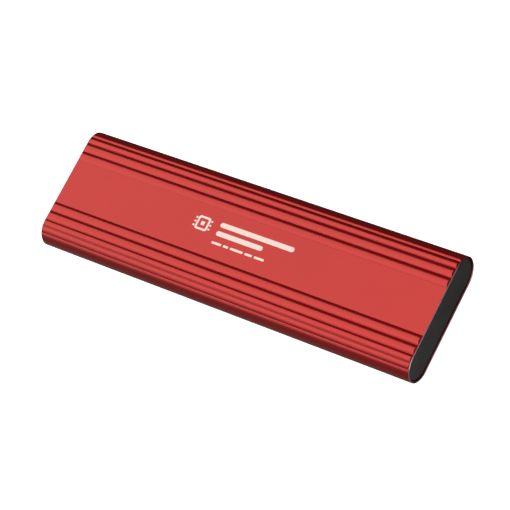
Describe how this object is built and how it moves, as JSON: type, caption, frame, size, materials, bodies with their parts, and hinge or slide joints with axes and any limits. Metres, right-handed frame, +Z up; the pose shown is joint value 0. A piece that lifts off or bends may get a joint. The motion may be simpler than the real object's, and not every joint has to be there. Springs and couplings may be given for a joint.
{
  "type": "solid state drive",
  "caption": "Portable solid state drive in a ridged flat aluminium tube with plastic end caps and a small data port.",
  "frame": {"origin": "middle of the footprint, at the height of the lowest ridges the drive rests on", "axes": "+X along the tube from the port end to the plain end, +Y across it, +Z up out of the marked face"},
  "size_m": [0.099, 0.0292, 0.009],
  "materials": {
    "anodised_red": "satin red anodised, fine bead-blast grain, end edges bright",
    "cap_plastic": "fine-textured dark grey moulded plastic",
    "clear_plastic": "clear moulded light pipe",
    "tray_plastic": "black moulded plastic",
    "circuit_board": "solder-masked circuit board",
    "zinc_steel": "plated steel",
    "insulator_plastic": "black insulator plastic",
    "gold_contact": "gold-plated contacts",
    "tinned_contact": "tinned solder tails",
    "led_resin": "pale LED resin",
    "chip_moulding": "black moulded chip package",
    "capacitor_ceramic": "brown ceramic",
    "amber_film": "amber polyimide film",
    "brass": "turned brass",
    "silicone_pad": "soft grey-blue silicone",
    "spreader_aluminium": "plain rolled aluminium sheet"
  },
  "bodies": {
    "housing": {"sleeve": "anodised_red"},
    "rear_end": {"rear_cap": "cap_plastic"},
    "core": {"port_cap": "cap_plastic", "light_pipe": "clear_plastic", "carrier_tray": "tray_plastic", "bridge_board": "circuit_board", "board_screws": "zinc_steel", "usb_shell": "zinc_steel", "usb_tongue": "insulator_plastic", "usb_contacts": "gold_contact", "status_led": "led_resin", "bridge_controller": "chip_moulding", "bridge_memory_chip": "chip_moulding", "bridge_crystal": "zinc_steel", "bridge_inductor": "chip_moulding", "bridge_capacitors": "capacitor_ceramic", "socket_housing": "insulator_plastic", "socket_contacts": "tinned_contact", "insulating_film": "amber_film", "ssd_board": "circuit_board", "ssd_edge_contacts": "gold_contact", "ssd_controller": "chip_moulding", "memory_package": "chip_moulding", "flash_packages": "chip_moulding", "power_chip": "chip_moulding", "ssd_inductors": "chip_moulding", "ssd_capacitors": "capacitor_ceramic", "ssd_standoff": "brass", "ssd_screw": "zinc_steel", "thermal_pad": "silicone_pad", "heat_spreader": "spreader_aluminium"}
  },
  "joints": [
    {"name": "rear_cap_pull", "type": "slide", "parent": "housing", "child": "rear_end", "axis": [1, 0, 0], "range_m": [0, 0.015]},
    {"name": "core_slide", "type": "slide", "parent": "housing", "child": "core", "axis": [-1, 0, 0], "range_m": [0, 0.1]}
  ]
}
